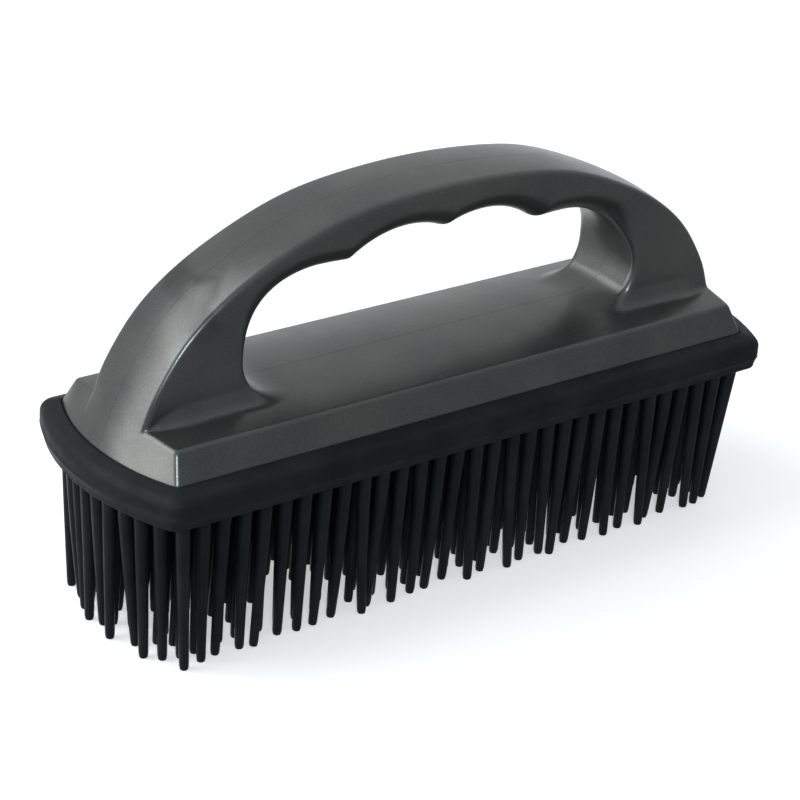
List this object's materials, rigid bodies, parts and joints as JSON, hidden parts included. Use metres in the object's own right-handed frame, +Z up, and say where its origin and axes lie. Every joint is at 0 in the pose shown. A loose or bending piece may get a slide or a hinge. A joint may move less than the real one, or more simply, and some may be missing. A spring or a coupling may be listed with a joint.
{
  "type": "rubber curry brush",
  "caption": "Curry brush with an arched hand grip over a block, and a rubber pad of close, long, flexible tapered bristles.",
  "frame": {"origin": "under the middle of the brush, level with the bristle tips", "axes": "+X along the brush, +Y across it, +Z up through the handle"},
  "size_m": [0.1638, 0.052, 0.0841],
  "materials": {
    "handle_plastic": "graphite grey with fine metallic flake, satin, moulded",
    "plate_plastic": "black, moulded",
    "screw_steel": "zinc plated",
    "black_rubber": "black, matt, moulded"
  },
  "bodies": {
    "brush": {"handle_front_shell": "handle_plastic", "handle_rear_shell": "handle_plastic", "backing_plate": "plate_plastic", "screw_1": "screw_steel", "screw_2": "screw_steel", "screw_3": "screw_steel", "screw_4": "screw_steel", "screw_5": "screw_steel", "screw_6": "screw_steel", "rubber_pad": "black_rubber"},
    "bristles_01": {"bristle_row_01": "black_rubber"},
    "bristles_02": {"bristle_row_02": "black_rubber"},
    "bristles_03": {"bristle_row_03": "black_rubber"},
    "bristles_04": {"bristle_row_04": "black_rubber"},
    "bristles_05": {"bristle_row_05": "black_rubber"},
    "bristles_06": {"bristle_row_06": "black_rubber"},
    "bristles_07": {"bristle_row_07": "black_rubber"},
    "bristles_08": {"bristle_row_08": "black_rubber"},
    "bristles_09": {"bristle_row_09": "black_rubber"},
    "bristles_10": {"bristle_row_10": "black_rubber"},
    "bristles_11": {"bristle_row_11": "black_rubber"}
  },
  "joints": [
    {"name": "bristle_row_01_bend", "type": "hinge", "parent": "brush", "child": "bristles_01", "pos_m": [0, -0.0215, 0.0328], "axis": [1, 0, 0], "range_deg": [-25, 25], "stiffness_Nm_per_rad": 0.03},
    {"name": "bristle_row_02_bend", "type": "hinge", "parent": "brush", "child": "bristles_02", "pos_m": [0, -0.0172, 0.0328], "axis": [1, 0, 0], "range_deg": [-25, 25], "stiffness_Nm_per_rad": 0.03},
    {"name": "bristle_row_03_bend", "type": "hinge", "parent": "brush", "child": "bristles_03", "pos_m": [0, -0.0129, 0.0328], "axis": [1, 0, 0], "range_deg": [-25, 25], "stiffness_Nm_per_rad": 0.03},
    {"name": "bristle_row_04_bend", "type": "hinge", "parent": "brush", "child": "bristles_04", "pos_m": [0, -0.0086, 0.0328], "axis": [1, 0, 0], "range_deg": [-25, 25], "stiffness_Nm_per_rad": 0.03},
    {"name": "bristle_row_05_bend", "type": "hinge", "parent": "brush", "child": "bristles_05", "pos_m": [0, -0.0043, 0.0328], "axis": [1, 0, 0], "range_deg": [-25, 25], "stiffness_Nm_per_rad": 0.03},
    {"name": "bristle_row_06_bend", "type": "hinge", "parent": "brush", "child": "bristles_06", "pos_m": [0, 0, 0.0328], "axis": [1, 0, 0], "range_deg": [-25, 25], "stiffness_Nm_per_rad": 0.03},
    {"name": "bristle_row_07_bend", "type": "hinge", "parent": "brush", "child": "bristles_07", "pos_m": [0, 0.0043, 0.0328], "axis": [1, 0, 0], "range_deg": [-25, 25], "stiffness_Nm_per_rad": 0.03},
    {"name": "bristle_row_08_bend", "type": "hinge", "parent": "brush", "child": "bristles_08", "pos_m": [0, 0.0086, 0.0328], "axis": [1, 0, 0], "range_deg": [-25, 25], "stiffness_Nm_per_rad": 0.03},
    {"name": "bristle_row_09_bend", "type": "hinge", "parent": "brush", "child": "bristles_09", "pos_m": [0, 0.0129, 0.0328], "axis": [1, 0, 0], "range_deg": [-25, 25], "stiffness_Nm_per_rad": 0.03},
    {"name": "bristle_row_10_bend", "type": "hinge", "parent": "brush", "child": "bristles_10", "pos_m": [0, 0.0172, 0.0328], "axis": [1, 0, 0], "range_deg": [-25, 25], "stiffness_Nm_per_rad": 0.03},
    {"name": "bristle_row_11_bend", "type": "hinge", "parent": "brush", "child": "bristles_11", "pos_m": [0, 0.0215, 0.0328], "axis": [1, 0, 0], "range_deg": [-25, 25], "stiffness_Nm_per_rad": 0.03}
  ],
  "couplings": [
    {"joint": "bristle_row_01_bend", "follows": "bristle_row_06_bend", "ratio": 1},
    {"joint": "bristle_row_02_bend", "follows": "bristle_row_06_bend", "ratio": 1},
    {"joint": "bristle_row_03_bend", "follows": "bristle_row_06_bend", "ratio": 1},
    {"joint": "bristle_row_04_bend", "follows": "bristle_row_06_bend", "ratio": 1},
    {"joint": "bristle_row_05_bend", "follows": "bristle_row_06_bend", "ratio": 1},
    {"joint": "bristle_row_07_bend", "follows": "bristle_row_06_bend", "ratio": 1},
    {"joint": "bristle_row_08_bend", "follows": "bristle_row_06_bend", "ratio": 1},
    {"joint": "bristle_row_09_bend", "follows": "bristle_row_06_bend", "ratio": 1},
    {"joint": "bristle_row_10_bend", "follows": "bristle_row_06_bend", "ratio": 1},
    {"joint": "bristle_row_11_bend", "follows": "bristle_row_06_bend", "ratio": 1}
  ]
}
